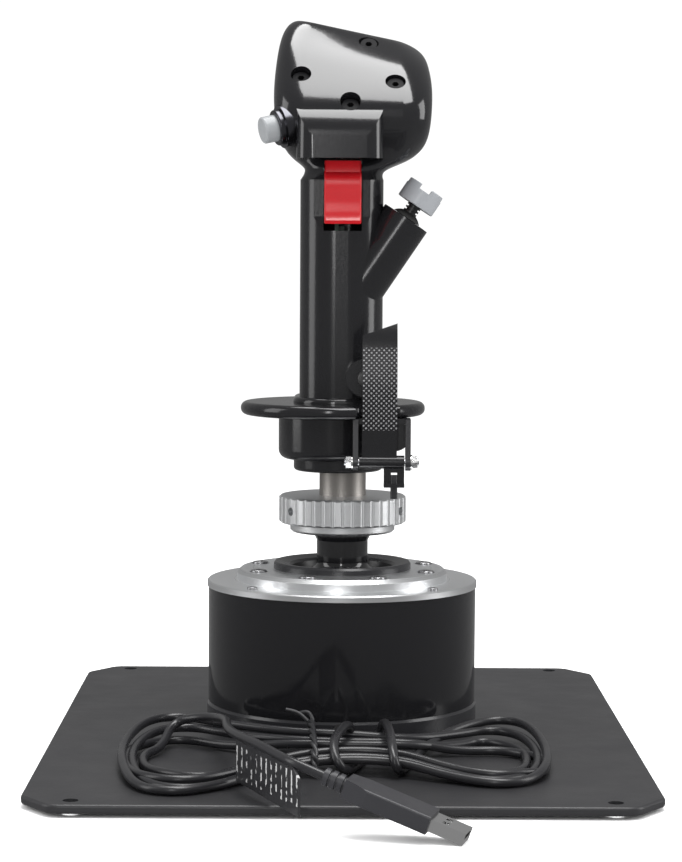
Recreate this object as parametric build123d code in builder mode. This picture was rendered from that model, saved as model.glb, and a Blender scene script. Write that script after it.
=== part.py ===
from build123d import *
import os
from math import atan2, cos, degrees, pi, radians, sin, sqrt, tan

# Flight joystick: a stick on a drum base with a steel floor plate, and its USB cable.
# Millimetres, +Z up. The origin is the middle of the floor plate, on the table under its feet.
# +X is the pilot's left and +Y points from the trigger side to the pilot.

# ------------------------------------------------------------------ driving dimensions

stick_y = 15.0              # the stick's axis stands this far from the plate's middle

plate_width = 242.0
plate_length = 315.0
plate_thickness = 3.6
plate_corner_x = 12.0
plate_corner_y = 17.0
plate_edge_round = 1.2
bolt_spacing_x = 202.5
bolt_spacing_y = 298.8
bolt_hole_diameter = 6.0
foot_height = 1.4
foot_diameter = 16.0

drum_diameter = 115.0
drum_height = 49.3
drum_wall = 4.0
drum_lip = 4.5              # inward lip at each end, which the screws go into
drum_lip_height = 6.0
base_ring_diameter = 116.0
base_ring_height = 10.0
base_ring_bore = 92.0
flange_diameter = 116.0
flange_thickness = 2.7
boss_diameter = 90.4
boss_height = 4.7
plate_screw_count = 4
plate_screw_radius = 52.0
boss_screw_count = 8
boss_screw_radius = 38.5
flange_screw_count = 4
flange_screw_radius = 53.2

pivot_height = 54.0         # centre of the stick's pivot above the table
ball_radius = 22.0
ball_floor = 16.0           # the ball is cut flat this far under its centre
neck_diameter = 22.0
neck_flare = 1.0
neck_top = 87.4
gimbal_ring_thickness = 3.9
gimbal_ring_height = 7.0
gimbal_pin_diameter = 5.0
bezel_diameter = 59.0
bezel_height = 3.0
bezel_opening = 43.2
bezel_spigot_diameter = 46.0
shaft_diameter = 12.0
foot_flange_diameter = 44.0
foot_flange_thickness = 3.0
foot_flange_height = 30.0
spring_wire = 3.2
spring_turns = 2.75
magnet_diameter = 8.0

nut_diameter = 54.8
nut_flange_diameter = 45.0
nut_flange_height = 3.9
nut_band_height = 11.8
nut_flutes = 40
nut_flute_radius = 1.25
spanner_hole_diameter = 3.6
tube_diameter = 20.0
tube_wall = 2.5

grip_x = -1.05              # the handle's middle, beside the stick's axis
grip_y = 2.0
handle_width = 35.3
handle_depth = 46.0
handle_corner = 15.0
handle_wall = 3.0
cap_bottom = 114.0
cap_diameter = 38.0
cap_x = -2.1
collar_bottom = 119.0
collar_diameter = 46.4
collar_x = -4.4
collar_round = 4.0
rest_bottom = 138.0
rest_diameter = 79.0
rest_thickness = 5.6
rest_lip = 2.4
handle_top = 238.0

trigger_width = 15.5
trigger_x = -0.75
trigger_pin_height = 242.5
trigger_pin_depth = 14.5    # the pin's distance in front of the stick's axis
trigger_pin_diameter = 3.0
trigger_slot_bottom = 216.5
trigger_slot_top = 246.3

button_diameter = 11.2
button_collar_diameter = 18.0
weapon_button_diameter = 13.0
weapon_button_x = 24.0
weapon_button_height = 284.0

hat_diameter = 17.0
hat_height = 9.1
hat_stem_diameter = 4.6
hat_pin_diameter = 2.0
hat_socket_diameter = 18.0
side_hat_lean = 34.0        # degrees from vertical, towards +X
side_hat_boss_diameter = 21.4
side_hat_boss_length = 40.0

lever_width = 14.6
lever_x = 7.8               # its inner edge
lever_thickness = 1.5
lever_pivot_depth = 30.0    # in front of the stick's axis
lever_pivot_height = 120.0
lever_barrel_diameter = 5.6
lever_pin_diameter = 3.0
plunger_x = 9.0
plunger_height = 155.0
plunger_diameter = 6.4
plunger_housing_diameter = 16.0

cable_diameter = 3.6
plug_length = 33.5
plug_width = 15.5
plug_height = 7.0
plug_relief = 9.0
shell_length = 13.5
shell_width = 12.0
shell_height = 4.5
shell_wall = 0.4

fit_gap = 0.05              # between pieces that sit in one another
running_gap = 0.05          # radial, round a turning or sliding pin
moving_gap = 0.3            # between moving pieces and what they pass
screw_gap = 0.1

# ------------------------------------------------------------------ levels and planes

plate_top = foot_height + plate_thickness
ring_top = plate_top + base_ring_height
drum_top = ring_top + drum_height
flange_top = drum_top + flange_thickness
boss_top = flange_top + boss_height
bezel_top = boss_top + bezel_height
nut_bottom = neck_top + 0.2
nut_top = nut_bottom + nut_flange_height + nut_band_height
rest_top = rest_bottom + rest_thickness
ballast_top = plate_top + 8.5
seat_top = ballast_top + 2.0

stick_axis = Axis((0, stick_y, 0), (0, 0, 1))
pivot = Vector(0, stick_y, pivot_height)


def level(z, x=0.0, y=0.0):
    """Horizontal plane at height z with its origin on the stick's axis, or beside it."""
    return Plane(origin=(x, stick_y + y, z), z_dir=(0, 0, 1), x_dir=(1, 0, 0))


def side_on(x):
    """Plane facing +X at x: its own X and Y are the distance past the stick's axis and the height."""
    return Plane(origin=(x, stick_y, 0), x_dir=(0, 1, 0), z_dir=(1, 0, 0))


def facing(origin, direction, across=(1, 0, 0)):
    """Plane at origin that looks along direction, with its own X along across."""
    return Plane(origin=origin, x_dir=across, z_dir=direction)


upright = Plane(origin=(0, stick_y, 0), x_dir=(1, 0, 0), z_dir=(0, -1, 0))


def turned(*outline):
    """A solid turned round the stick's axis from an outline of (radius, height) corners."""
    with BuildPart() as body:
        with BuildSketch(upright):
            with BuildLine():
                Polyline(*outline, close=True)
            make_face()
        revolve(axis=stick_axis)
    return body.part


def rod(plane, radius, start, end):
    """A round rod along the plane's normal, from start to end along it."""
    with BuildPart() as body:
        with BuildSketch(plane.offset(start)):
            Circle(radius)
        extrude(amount=end - start)
    return body.part


def ring_of_rods(plane, radius, count, start_angle, rod_radius, start, end):
    """Round rods along the plane's normal, set out on a circle."""
    with BuildPart() as body:
        with BuildSketch(plane.offset(start)):
            with PolarLocations(radius, count, start_angle=start_angle):
                Circle(rod_radius)
        extrude(amount=end - start)
    return body.part


def cross_screws(plane, radius, count, start_angle, head, shank_diameter, length):
    """Screws on a circle, their heads (diameter, height) standing on the plane, with a cross recess."""
    with BuildPart() as screws:
        add(ring_of_rods(plane, radius, count, start_angle, head[0] / 2, 0, head[1]))
        fillet(screws.faces().sort_by(Axis.Z)[-count:].edges(), head[1] * 0.35)
        add(ring_of_rods(plane, radius, count, start_angle, shank_diameter / 2, -length, 0))
        with BuildSketch(plane.offset(head[1])):
            with PolarLocations(radius, count, start_angle=start_angle):
                Rectangle(head[0] * 0.56, head[0] * 0.15)
                Rectangle(head[0] * 0.15, head[0] * 0.56)
        extrude(amount=-head[1] * 0.6, mode=Mode.SUBTRACT)
    return screws.part


def finish(piece, label):
    """Name a piece and write it to its own file."""
    piece.label = label
    export_step(piece, "parts/" + label + ".step")


os.makedirs("parts", exist_ok=True)

# ------------------------------------------------------------------ floor plate

half_w = plate_width / 2
half_l = plate_length / 2
with BuildPart() as base_plate:
    with BuildSketch(Plane.XY.offset(foot_height)):
        with BuildLine():
            Polyline(
                (half_w, -half_l + plate_corner_y), (half_w, half_l - plate_corner_y),
                (half_w - plate_corner_x, half_l), (-half_w + plate_corner_x, half_l),
                (-half_w, half_l - plate_corner_y), (-half_w, -half_l + plate_corner_y),
                (-half_w + plate_corner_x, -half_l), (half_w - plate_corner_x, -half_l), close=True)
        make_face()
    extrude(amount=plate_thickness)
    fillet(base_plate.edges().filter_by(Axis.Z), plate_corner_x * 0.6)
    fillet(base_plate.faces().sort_by(Axis.Z)[-1].edges(), plate_edge_round)
    fillet(base_plate.faces().sort_by(Axis.Z)[0].edges(), plate_edge_round)
    with BuildSketch(Plane.XY):
        with GridLocations(bolt_spacing_x, bolt_spacing_y, 2, 2):
            Circle(bolt_hole_diameter / 2)
    extrude(amount=plate_top, mode=Mode.SUBTRACT)
    add(ring_of_rods(level(0), plate_screw_radius, plate_screw_count, 45, 2.0, 0, plate_top),
        mode=Mode.SUBTRACT)
    add(ring_of_rods(level(0), plate_screw_radius, plate_screw_count, 45, 3.8, 0, foot_height + 1.8),
        mode=Mode.SUBTRACT)
finish(base_plate.part, "base_plate")

with BuildPart() as rubber_feet:
    with BuildSketch():
        with GridLocations(plate_width - 5 * plate_corner_x, plate_length / 2 - 2 * plate_corner_y, 2, 3):
            Circle(foot_diameter / 2)
    extrude(amount=foot_height)
finish(rubber_feet.part, "rubber_feet")

with BuildPart() as plate_screws:
    add(ring_of_rods(level(foot_height), plate_screw_radius, plate_screw_count, 45, 3.7, 0, 1.8))
    add(ring_of_rods(level(foot_height), plate_screw_radius, plate_screw_count, 45, 1.9, 0,
                     ring_top + drum_lip_height - foot_height - 1))
finish(plate_screws.part, "plate_screws")

# ------------------------------------------------------------------ drum base

gland_radius = 4.3
gland_reach = 7.0
gland_z = plate_top + base_ring_height / 2
gland_plane = facing((0, stick_y - base_ring_diameter / 2 + 1.0, gland_z), (0, -1, 0))
ring_wall = (base_ring_diameter - base_ring_bore) / 2

with BuildPart() as base_ring:
    add(turned(
        (base_ring_bore / 2, plate_top), (base_ring_diameter / 2, plate_top),
        (base_ring_diameter / 2, ring_top - 1.4), (base_ring_diameter / 2 - 0.9, ring_top),
        (base_ring_bore / 2, ring_top)))
    add(ring_of_rods(level(0), plate_screw_radius, plate_screw_count, 45, 2.0, 0, ring_top),
        mode=Mode.SUBTRACT)
    add(rod(gland_plane, gland_radius + fit_gap, 0, 4), mode=Mode.SUBTRACT)
    add(rod(gland_plane, gland_radius - 0.8 + fit_gap, -ring_wall - 2, 0), mode=Mode.SUBTRACT)
finish(base_ring.part, "base_ring")

with BuildPart() as cable_gland:
    add(rod(gland_plane, gland_radius, 0, 2.6))
    add(rod(gland_plane, gland_radius - 1.2, 2.6, gland_reach + 1))
    add(rod(gland_plane, gland_radius - 0.8, -ring_wall - 1, 0))
    add(rod(gland_plane, cable_diameter / 2 + fit_gap, -ring_wall - 2, gland_reach + 2), mode=Mode.SUBTRACT)
finish(cable_gland.part, "cable_gland")

drum_radius = drum_diameter / 2
bore_radius = drum_radius - drum_wall
lip_radius = bore_radius - drum_lip
with BuildPart() as base_housing:
    add(turned(
        (drum_radius, ring_top), (drum_radius, drum_top), (lip_radius, drum_top),
        (lip_radius, drum_top - drum_lip_height), (bore_radius, drum_top - drum_lip_height - drum_lip),
        (bore_radius, ring_top + drum_lip_height), (lip_radius, ring_top + drum_lip_height),
        (lip_radius, ring_top)))
    add(ring_of_rods(level(ring_top), plate_screw_radius, plate_screw_count, 45, 1.9, -1, drum_lip_height + 1),
        mode=Mode.SUBTRACT)
    add(ring_of_rods(level(drum_top), flange_screw_radius, flange_screw_count, 45, 1.3, -drum_lip_height, 1),
        mode=Mode.SUBTRACT)
finish(base_housing.part, "base_housing")

ballast_radius = base_ring_bore / 2 - 3
with BuildPart() as ballast_weight:
    with BuildSketch(level(plate_top)):
        Circle(ballast_radius)
        with Locations((0, -ballast_radius)):
            Rectangle(12, 24, mode=Mode.SUBTRACT)
    extrude(amount=ballast_top - plate_top)
finish(ballast_weight.part, "ballast_weight")

spigot_radius = bezel_spigot_diameter / 2
pocket_radius = 32.0        # room above the gimbal ring as it swings
pocket_height = 3.0
with BuildPart() as top_flange:
    add(turned(
        (flange_diameter / 2, drum_top), (flange_diameter / 2, flange_top - 0.5),
        (flange_diameter / 2 - 0.5, flange_top), (boss_diameter / 2, flange_top),
        (boss_diameter / 2, boss_top - 1.6), (boss_diameter / 2 - 1.6, boss_top),
        (spigot_radius + fit_gap, boss_top), (spigot_radius + fit_gap, drum_top + pocket_height),
        (pocket_radius, drum_top + pocket_height), (pocket_radius, drum_top)))
    add(ring_of_rods(level(0), boss_screw_radius, boss_screw_count, 22.5, 2.0 + screw_gap, 0, boss_top),
        mode=Mode.SUBTRACT)
    add(ring_of_rods(level(boss_top), boss_screw_radius, boss_screw_count, 22.5, 3.9, -1.0, 1.0),
        mode=Mode.SUBTRACT)
    add(ring_of_rods(level(0), flange_screw_radius, flange_screw_count, 45, 1.3 + screw_gap, 0, boss_top),
        mode=Mode.SUBTRACT)
finish(top_flange.part, "top_flange")

frame_thickness = 4.3
finish(cross_screws(level(boss_top - 1.0), boss_screw_radius, boss_screw_count, 22.5, (6.8, 1.8), 4.0,
                    boss_top - 1.0 - drum_top + frame_thickness), "boss_screws")
finish(cross_screws(level(flange_top), flange_screw_radius, flange_screw_count, 45, (4.4, 1.1), 2.6,
                    flange_thickness + drum_lip_height - 1), "flange_screws")

spigot_depth = 5.7
finish(turned(
    (bezel_diameter / 2, boss_top), (bezel_diameter / 2, bezel_top - 0.9),
    (bezel_diameter / 2 - 0.7, bezel_top), (bezel_diameter / 2 - 2.4, bezel_top),
    (bezel_opening / 2 + 1.2, bezel_top - 1.1), (bezel_opening / 2, bezel_top - 2.2),
    (bezel_opening / 2 - 1.0, boss_top - spigot_depth), (spigot_radius, boss_top - spigot_depth),
    (spigot_radius, boss_top)), "dust_bezel")

# ------------------------------------------------------------------ gimbal

ring_inner = ball_radius + 0.6
ring_outer = ring_inner + gimbal_ring_thickness
pin_radius = gimbal_pin_diameter / 2
ear_inner = ring_outer + 0.7
ear_thickness = 6.0
ear_width = 18.0
across_x = facing(pivot, (1, 0, 0), (0, 1, 0))
across_y = facing(pivot, (0, 1, 0))
boss_screw_ring = (boss_screw_radius, boss_screw_count, 22.5)

with BuildPart() as gimbal_frame:
    with BuildSketch(level(drum_top - frame_thickness)):
        Circle(lip_radius - 0.5)
        Circle(pocket_radius + 1, mode=Mode.SUBTRACT)
    extrude(amount=frame_thickness)
    for side in (-1, 1):
        with BuildSketch(level(pivot_height - ear_width / 2)):
            with Locations((side * (ear_inner + ear_thickness / 2), 0)):
                Rectangle(ear_thickness, ear_width)
        extrude(amount=drum_top - pivot_height + ear_width / 2)
        with BuildSketch(level(drum_top - frame_thickness)):
            with Locations((side * (ear_inner + 5), 0)):
                Rectangle(10, ear_width)
        extrude(amount=frame_thickness)
    add(rod(across_x, pin_radius + running_gap, -ear_inner - ear_thickness, ear_inner + ear_thickness),
        mode=Mode.SUBTRACT)
    add(ring_of_rods(level(0), *boss_screw_ring, 2.0, 0, drum_top), mode=Mode.SUBTRACT)
finish(gimbal_frame.part, "gimbal_frame")

with BuildPart() as gimbal_ring:
    with BuildSketch(level(pivot_height - gimbal_ring_height / 2)):
        Circle(ring_outer)
        Circle(ring_inner, mode=Mode.SUBTRACT)
    extrude(amount=gimbal_ring_height)
    add(rod(across_x, pin_radius, ring_inner + 1, ear_inner + ear_thickness - 1))
    add(rod(across_x, pin_radius, -ear_inner - ear_thickness + 1, -ring_inner - 1))
    add(rod(across_y, pin_radius + running_gap, -ring_outer - 1, ring_outer + 1), mode=Mode.SUBTRACT)
finish(gimbal_ring.part, "gimbal_ring")

shaft_radius = shaft_diameter / 2
neck_radius = neck_diameter / 2
pin_seat = 6.0
shaft_top = 100.0
with BuildPart() as pivot_ball:
    with BuildSketch(upright):
        with BuildLine():
            neck_start = pivot_height + sqrt(ball_radius**2 - neck_radius**2)
            floor_radius = sqrt(ball_radius**2 - ball_floor**2)
            Line((shaft_radius, pivot_height - ball_floor), (floor_radius, pivot_height - ball_floor))
            ThreePointArc((floor_radius, pivot_height - ball_floor), (ball_radius, pivot_height),
                          (neck_radius, neck_start))
            Polyline((neck_radius, neck_start), (neck_radius, neck_top - 3.5),
                     (neck_radius + neck_flare, neck_top - 1.5), (neck_radius + neck_flare, neck_top),
                     (shaft_radius, neck_top), (shaft_radius, pivot_height - ball_floor))
        make_face()
    revolve(axis=stick_axis)
    fillet(pivot_ball.edges().filter_by(GeomType.CIRCLE).filter_by_position(
        Axis.Z, neck_start - 0.1, neck_start + 0.1), 3.0)
    add(rod(across_y, pin_radius, -ball_radius - 1, -ball_radius + pin_seat), mode=Mode.SUBTRACT)
    add(rod(across_y, pin_radius, ball_radius - pin_seat, ball_radius + 1), mode=Mode.SUBTRACT)
finish(pivot_ball.part, "pivot_ball")

with BuildPart() as pivot_pins:
    for side in (-1, 1):
        near = side * (ball_radius - pin_seat)
        add(rod(across_y, pin_radius, near, side * (ring_outer - 0.2)))
finish(pivot_pins.part, "pivot_pins")

with BuildPart() as stick_shaft:
    add(rod(level(0), shaft_radius, foot_flange_height, shaft_top))
    add(rod(level(0), foot_flange_diameter / 2, foot_flange_height, foot_flange_height + foot_flange_thickness))
    add(rod(level(0), magnet_diameter / 2, foot_flange_height, foot_flange_height + 1.5), mode=Mode.SUBTRACT)
finish(stick_shaft.part, "stick_shaft")

finish(rod(level(0), magnet_diameter / 2, foot_flange_height - 2.5, foot_flange_height + 1.5), "sensor_magnet")

spring_radius = foot_flange_diameter / 2 - 3
spring_pitch = (foot_flange_height - seat_top - spring_wire) / spring_turns
with BuildPart() as centring_spring:
    with BuildLine(level(seat_top + spring_wire / 2)):
        coil = Helix(spring_pitch, spring_pitch * spring_turns, spring_radius)
    with BuildSketch(Plane(origin=coil @ 0, z_dir=coil % 0)):
        Circle(spring_wire / 2)
    sweep(path=coil, is_frenet=True)
finish(centring_spring.part, "centring_spring")

post_height = 2.5
board_thickness = 1.6
with BuildPart() as spring_seat:
    add(turned(
        (0, ballast_top), (spring_radius + 5, ballast_top), (spring_radius + 5, seat_top),
        (14, seat_top), (13, seat_top + post_height), (0, seat_top + post_height)))
finish(spring_seat.part, "spring_seat")

with BuildPart() as sensor_board:
    with BuildSketch(level(seat_top + post_height)):
        RectangleRounded(17, 17, 2)
    extrude(amount=board_thickness)
finish(sensor_board.part, "sensor_board")

board_height = 24.0
board_y = 34.0
with BuildPart() as main_board:
    with BuildSketch(level(board_height)):
        with Locations((0, board_y)):
            RectangleRounded(46, 18, 2)
    extrude(amount=board_thickness)
    with BuildSketch(level(board_height + board_thickness)):
        with Locations((-8, board_y)):
            Rectangle(10, 10)
        with Locations((10, board_y + 1)):
            Rectangle(14, 7)
    extrude(amount=2.5)
    with BuildSketch(level(ballast_top)):
        with Locations((0, board_y)):
            with GridLocations(34, 10, 2, 2):
                Circle(2.5)
    extrude(amount=board_height - ballast_top)
finish(main_board.part, "main_board")

# ------------------------------------------------------------------ ring nut and tube

tube_radius = tube_diameter / 2
band_bottom = nut_bottom + nut_flange_height
with BuildPart() as ring_nut:
    with BuildSketch(level(nut_bottom)):
        Circle(nut_flange_diameter / 2)
    extrude(amount=nut_flange_height)
    chamfer(ring_nut.faces().sort_by(Axis.Z)[0].edges(), 1.0)
    with BuildSketch(level(band_bottom)):
        Circle(nut_diameter / 2)
        with PolarLocations(nut_diameter / 2 + nut_flute_radius * 0.55, nut_flutes):
            Circle(nut_flute_radius, mode=Mode.SUBTRACT)
    extrude(amount=nut_band_height)
    add(turned(
        (nut_diameter / 2 - 1.2, nut_top + 0.1), (nut_diameter / 2 + 1, nut_top - 1.6),
        (nut_diameter / 2 + 1, nut_top + 0.1)), mode=Mode.SUBTRACT)
    add(turned(
        (nut_diameter / 2 - 1.2, band_bottom - 0.1), (nut_diameter / 2 + 1, band_bottom + 1.6),
        (nut_diameter / 2 + 1, band_bottom - 0.1)), mode=Mode.SUBTRACT)
    add(rod(level(0), tube_radius + running_gap, nut_bottom - 1, nut_top + 1), mode=Mode.SUBTRACT)
    for angle in (-144, -24, 96):
        outward = (cos(radians(angle)), sin(radians(angle)), 0)
        spanner_plane = facing((0, stick_y, band_bottom + nut_band_height / 2), outward, (0, 0, 1))
        add(rod(spanner_plane, spanner_hole_diameter / 2, nut_diameter / 2 - 5, nut_diameter / 2 + 1),
            mode=Mode.SUBTRACT)
finish(ring_nut.part, "ring_nut")

tube_bottom = neck_top
tube_top = collar_bottom + 4
with BuildPart() as connector_tube:
    with BuildSketch(level(tube_bottom)):
        Circle(tube_radius)
        Circle(tube_radius - tube_wall, mode=Mode.SUBTRACT)
    extrude(amount=tube_top - tube_bottom)
finish(connector_tube.part, "connector_tube")

with BuildPart() as stick_connector:
    add(rod(level(0), tube_radius - tube_wall - fit_gap, shaft_top, shaft_top + 9))
    with BuildSketch(level(shaft_top + 9)):
        with PolarLocations(4, 5):
            Circle(0.7)
    extrude(amount=3)
finish(stick_connector.part, "stick_connector")

# ------------------------------------------------------------------ head shape

# Each level of the head: height, left, right, front, back, corner radius and lean to the right.
head_levels = [
    (handle_top, -18.7, 16.6, -21.0, 25.0, 14.0, 0.0),
    (247.0, -21.5, 27.5, -23.0, 28.0, 13.0, 0.0),
    (256.0, -27.6, 35.0, -27.0, 30.0, 12.5, 0.0),
    (266.0, -29.6, 36.4, -30.0, 31.0, 12.5, 0.0),
    (276.0, -29.9, 36.7, -24.5, 31.0, 12.5, 1.0),
    (286.5, -29.0, 35.9, -14.5, 29.5, 12.0, 4.0),
    (295.0, -27.2, 34.2, -4.0, 27.0, 11.0, 8.0),
    (299.8, -24.0, 31.0, 2.8, 24.6, 9.5, 11.0),
    (301.6, -18.0, 25.5, 8.2, 20.6, 6.0, 11.3),
]
nose_left = -20.3
nose_right = 16.0
nose_front = 35.0
nose_bottom = 246.6
nose_top = 272.0
nose_round = 7.0
cover_back = 16.0           # the cover's flat rear edge, in front of the stick's axis
cover_bend = 258.0          # above this height the cover's rear edge leans back with its face
cover_lean = 0.55           # how far back it leans for each step up


def head_at(z, column):
    """A dimension of the head at height z, between its levels."""
    for low, high in zip(head_levels, head_levels[1:]):
        if low[0] <= z <= high[0]:
            return low[column] + (high[column] - low[column]) * (z - low[0]) / (high[0] - low[0])


with BuildPart() as head:
    for z, left, right, front, back, corner, lean in head_levels:
        with BuildSketch(level(z, (left + right) / 2, (front + back) / 2).rotated((0, lean, 0))):
            RectangleRounded(right - left, back - front, corner)
    loft()

with BuildPart() as nose:
    with BuildSketch(side_on(nose_left)):
        with BuildLine():
            Polyline((-cover_back + 2, nose_top), (-cover_back + 2, nose_bottom), (-nose_front, nose_bottom),
                     (-nose_front, nose_bottom + 9.5))
            ThreePointArc((-nose_front, nose_bottom + 9.5), (-nose_front + 2.0, nose_top - 9.5),
                          (-nose_front + 7.5, nose_top - 3.5))
            Line((-nose_front + 7.5, nose_top - 3.5), (-cover_back + 2, nose_top))
        make_face()
    extrude(amount=nose_right - nose_left)
    with BuildSketch(level(nose_bottom, (nose_left + nose_right) / 2, -nose_front + 20)):
        RectangleRounded(nose_right - nose_left, 40, nose_round)
    extrude(amount=30, mode=Mode.INTERSECT)

# The space in front of the line between the cover and the head shell.
with BuildPart() as cover_space:
    with BuildSketch(side_on(-60)):
        with BuildLine():
            Polyline((-80, nose_bottom), (-cover_back, nose_bottom), (-cover_back, cover_bend),
                     (-cover_back + cover_lean * 70, cover_bend + 70), (-80, cover_bend + 70), close=True)
        make_face()
    extrude(amount=120)

# ------------------------------------------------------------------ hats, buttons and their seats

hat_socket_radius = hat_socket_diameter / 2
hat_well_radius = hat_socket_radius - 1.0
hat_hub_radius = 4.6
hat_cup_radius = hat_hub_radius + 1.0
hat_pin_radius = hat_pin_diameter / 2
hat_depth = 8.0             # pivot under the rim of a hat's socket
hat_floor = 6.0
hat_dome_radius = 8.3
hat_dome_angle = 50.0
side_hat_rise = 3.0         # the side hat's socket stops this much nearer its pivot
side_hat_push = 1.0

side_hat_direction = (sin(radians(side_hat_lean)), 0, cos(radians(side_hat_lean)))
side_hat_face = Vector(26.2, stick_y - 9.0, 222.0)
side_hat_plane = facing(side_hat_face, side_hat_direction, (0, 1, 0)).offset(side_hat_rise - hat_depth)


def rear_plane(x, z, depth):
    """Plane on the pilot's side of the head, looking at the pilot, sunk by depth."""
    return facing((x, stick_y + head_at(z, 4), z), (0, 1, 0)).offset(-depth)


trim_hat_plane = rear_plane(5.0, 289.0, hat_depth)
upper_hat_plane = rear_plane(-14.5, 280.5, hat_depth)
lower_hat_plane = rear_plane(-8.5, 256.5, hat_depth)
weapon_plane = rear_plane(weapon_button_x, weapon_button_height, 0)
rear_hat_planes = [trim_hat_plane, upper_hat_plane, lower_hat_plane]

button_direction = Vector(-0.92, -0.33, -0.2).normalized()
button_plane = facing((-25.0, stick_y - 21.5, 260.0), button_direction, (0, 0, 1))
button_collar_radius = button_collar_diameter / 2
button_radius = button_diameter / 2
button_depth = 9.0

trigger_pin_plane = facing((0, stick_y - trigger_pin_depth, trigger_pin_height), (1, 0, 0), (0, 1, 0))
trigger_pin_radius = trigger_pin_diameter / 2
slot_half = trigger_width / 2 + moving_gap
recess_half = 13.5
with BuildPart() as trigger_slot:
    with BuildSketch(level(trigger_slot_bottom, trigger_x, -24)):
        Rectangle(2 * slot_half, 34)
    extrude(amount=trigger_slot_top - trigger_slot_bottom)

# The shallow recess in the handle's front that the trigger stands in.
with BuildPart() as trigger_recess:
    with BuildSketch(side_on(trigger_x - recess_half)):
        with BuildLine():
            Polyline((-30, trigger_slot_top), (-17.8, trigger_slot_top), (-17.8, 222.5), (-19.2, 218.5),
                     (-24, 216.8), (-30, 216.8), close=True)
        make_face()
    extrude(amount=2 * recess_half)

# Cover screws: each one's place across and up the cover.
cover_screw_places = [(10.0, 297.0), (-18.5, 281.5), (21.0, 279.0), (2.2, 270.0)]
cover_screw_direction = (0, -cos(radians(42)), sin(radians(42)))
recess_radius = 4.3
screw_head_radius = 3.5
screw_shank_radius = 1.5


def cover_screw_plane(x, z):
    """Plane at the bottom of a cover screw's recess."""
    return facing((x, stick_y + head_at(z, 3), z), cover_screw_direction).offset(-4.0)


with BuildPart() as cover_screws:
    for x, z in cover_screw_places:
        seat = cover_screw_plane(x, z)
        with BuildSketch(seat):
            Circle(screw_head_radius)
            RegularPolygon(1.5, 6, mode=Mode.SUBTRACT)
        extrude(amount=2.2)
        add(rod(seat, screw_shank_radius, -9, 0))
finish(cover_screws.part, "cover_screws")

# ------------------------------------------------------------------ head shell and cover

with BuildPart() as cavity:
    with BuildSketch(side_on(-24.5)):
        with BuildLine():
            Polyline((-14, 257), (23, 257), (24, 265), (23.5, 284), (20, 292), (5, 292), (-14, 258), close=True)
        make_face()
    extrude(amount=55)

with BuildPart() as head_shell:
    add(head.part)
    add(cover_space.part, mode=Mode.SUBTRACT)
    add(cavity.part, mode=Mode.SUBTRACT)
    add(trigger_slot.part, mode=Mode.SUBTRACT)
    with BuildSketch(level(handle_top - 1, 0, 8)):
        RectangleRounded(22, 22, 4)
    extrude(amount=22, mode=Mode.SUBTRACT)
    for plane in rear_hat_planes:
        add(rod(plane, hat_socket_radius + fit_gap, -12, 14), mode=Mode.SUBTRACT)
    add(rod(weapon_plane, weapon_button_diameter / 2 + moving_gap, -12, 6), mode=Mode.SUBTRACT)
    add(rod(button_plane, button_collar_radius + fit_gap, -button_depth, 20), mode=Mode.SUBTRACT)
    add(rod(trigger_pin_plane, trigger_pin_radius, -14, 12), mode=Mode.SUBTRACT)
    for x, z in cover_screw_places:
        add(rod(cover_screw_plane(x, z), screw_shank_radius, -9.5, 8), mode=Mode.SUBTRACT)
finish(head_shell.part, "head_shell")

with BuildPart() as front_cover:
    add(head.part)
    add(nose.part)
    add(cover_space.part, mode=Mode.INTERSECT)
    add(rod(button_plane, button_collar_radius + fit_gap, -button_depth, 20), mode=Mode.SUBTRACT)
    for x, z in cover_screw_places:
        add(rod(cover_screw_plane(x, z), recess_radius, 0, 20), mode=Mode.SUBTRACT)
        add(rod(cover_screw_plane(x, z), screw_shank_radius, -20, 1), mode=Mode.SUBTRACT)
finish(front_cover.part, "front_cover")

# ------------------------------------------------------------------ handle

lever_y = stick_y - lever_pivot_depth
collar_top = rest_bottom
side_hat_boss_radius = side_hat_boss_diameter / 2
housing_plane = facing((plunger_x, stick_y - 20.0, plunger_height), (0, -1, 0))
housing_reach = 7.0


def handle_outline(margin):
    """Sketch of the handle's cross-section, grown by margin."""
    RectangleRounded(handle_width + 2 * margin, handle_depth + 2 * margin, handle_corner + margin)


with BuildPart() as handle:
    with BuildSketch(level(collar_bottom, collar_x, 0)):
        Circle(collar_diameter / 2)
    extrude(amount=collar_top - collar_bottom)
    fillet(handle.faces().sort_by(Axis.Z)[0].edges(), collar_round)
    with BuildSketch(level(collar_top - 5, grip_x, grip_y)):
        handle_outline(0)
    extrude(amount=handle_top - collar_top + 5)
    add(rod(side_hat_plane, side_hat_boss_radius, hat_depth - side_hat_rise - side_hat_boss_length,
            hat_depth - side_hat_rise))
    add(rod(housing_plane, plunger_housing_diameter / 2, -6, housing_reach))
    with BuildSketch(level(collar_bottom + handle_wall + 1, grip_x, grip_y)):
        handle_outline(-handle_wall)
    extrude(amount=handle_top - collar_bottom, mode=Mode.SUBTRACT)
    add(rod(level(0), tube_radius, collar_bottom - 1, collar_bottom + 6), mode=Mode.SUBTRACT)
    add(trigger_slot.part, mode=Mode.SUBTRACT)
    add(trigger_recess.part, mode=Mode.SUBTRACT)
    add(rod(side_hat_plane, hat_socket_radius + running_gap, -hat_floor - side_hat_push - moving_gap, 20),
        mode=Mode.SUBTRACT)
    add(rod(housing_plane, plunger_diameter / 2 + running_gap, -8, housing_reach + 1), mode=Mode.SUBTRACT)

with BuildPart() as grip_shell_right:
    add(handle.part)
    split(bisect_by=Plane.YZ, keep=Keep.BOTTOM)
finish(grip_shell_right.part, "grip_shell_right")

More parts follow.
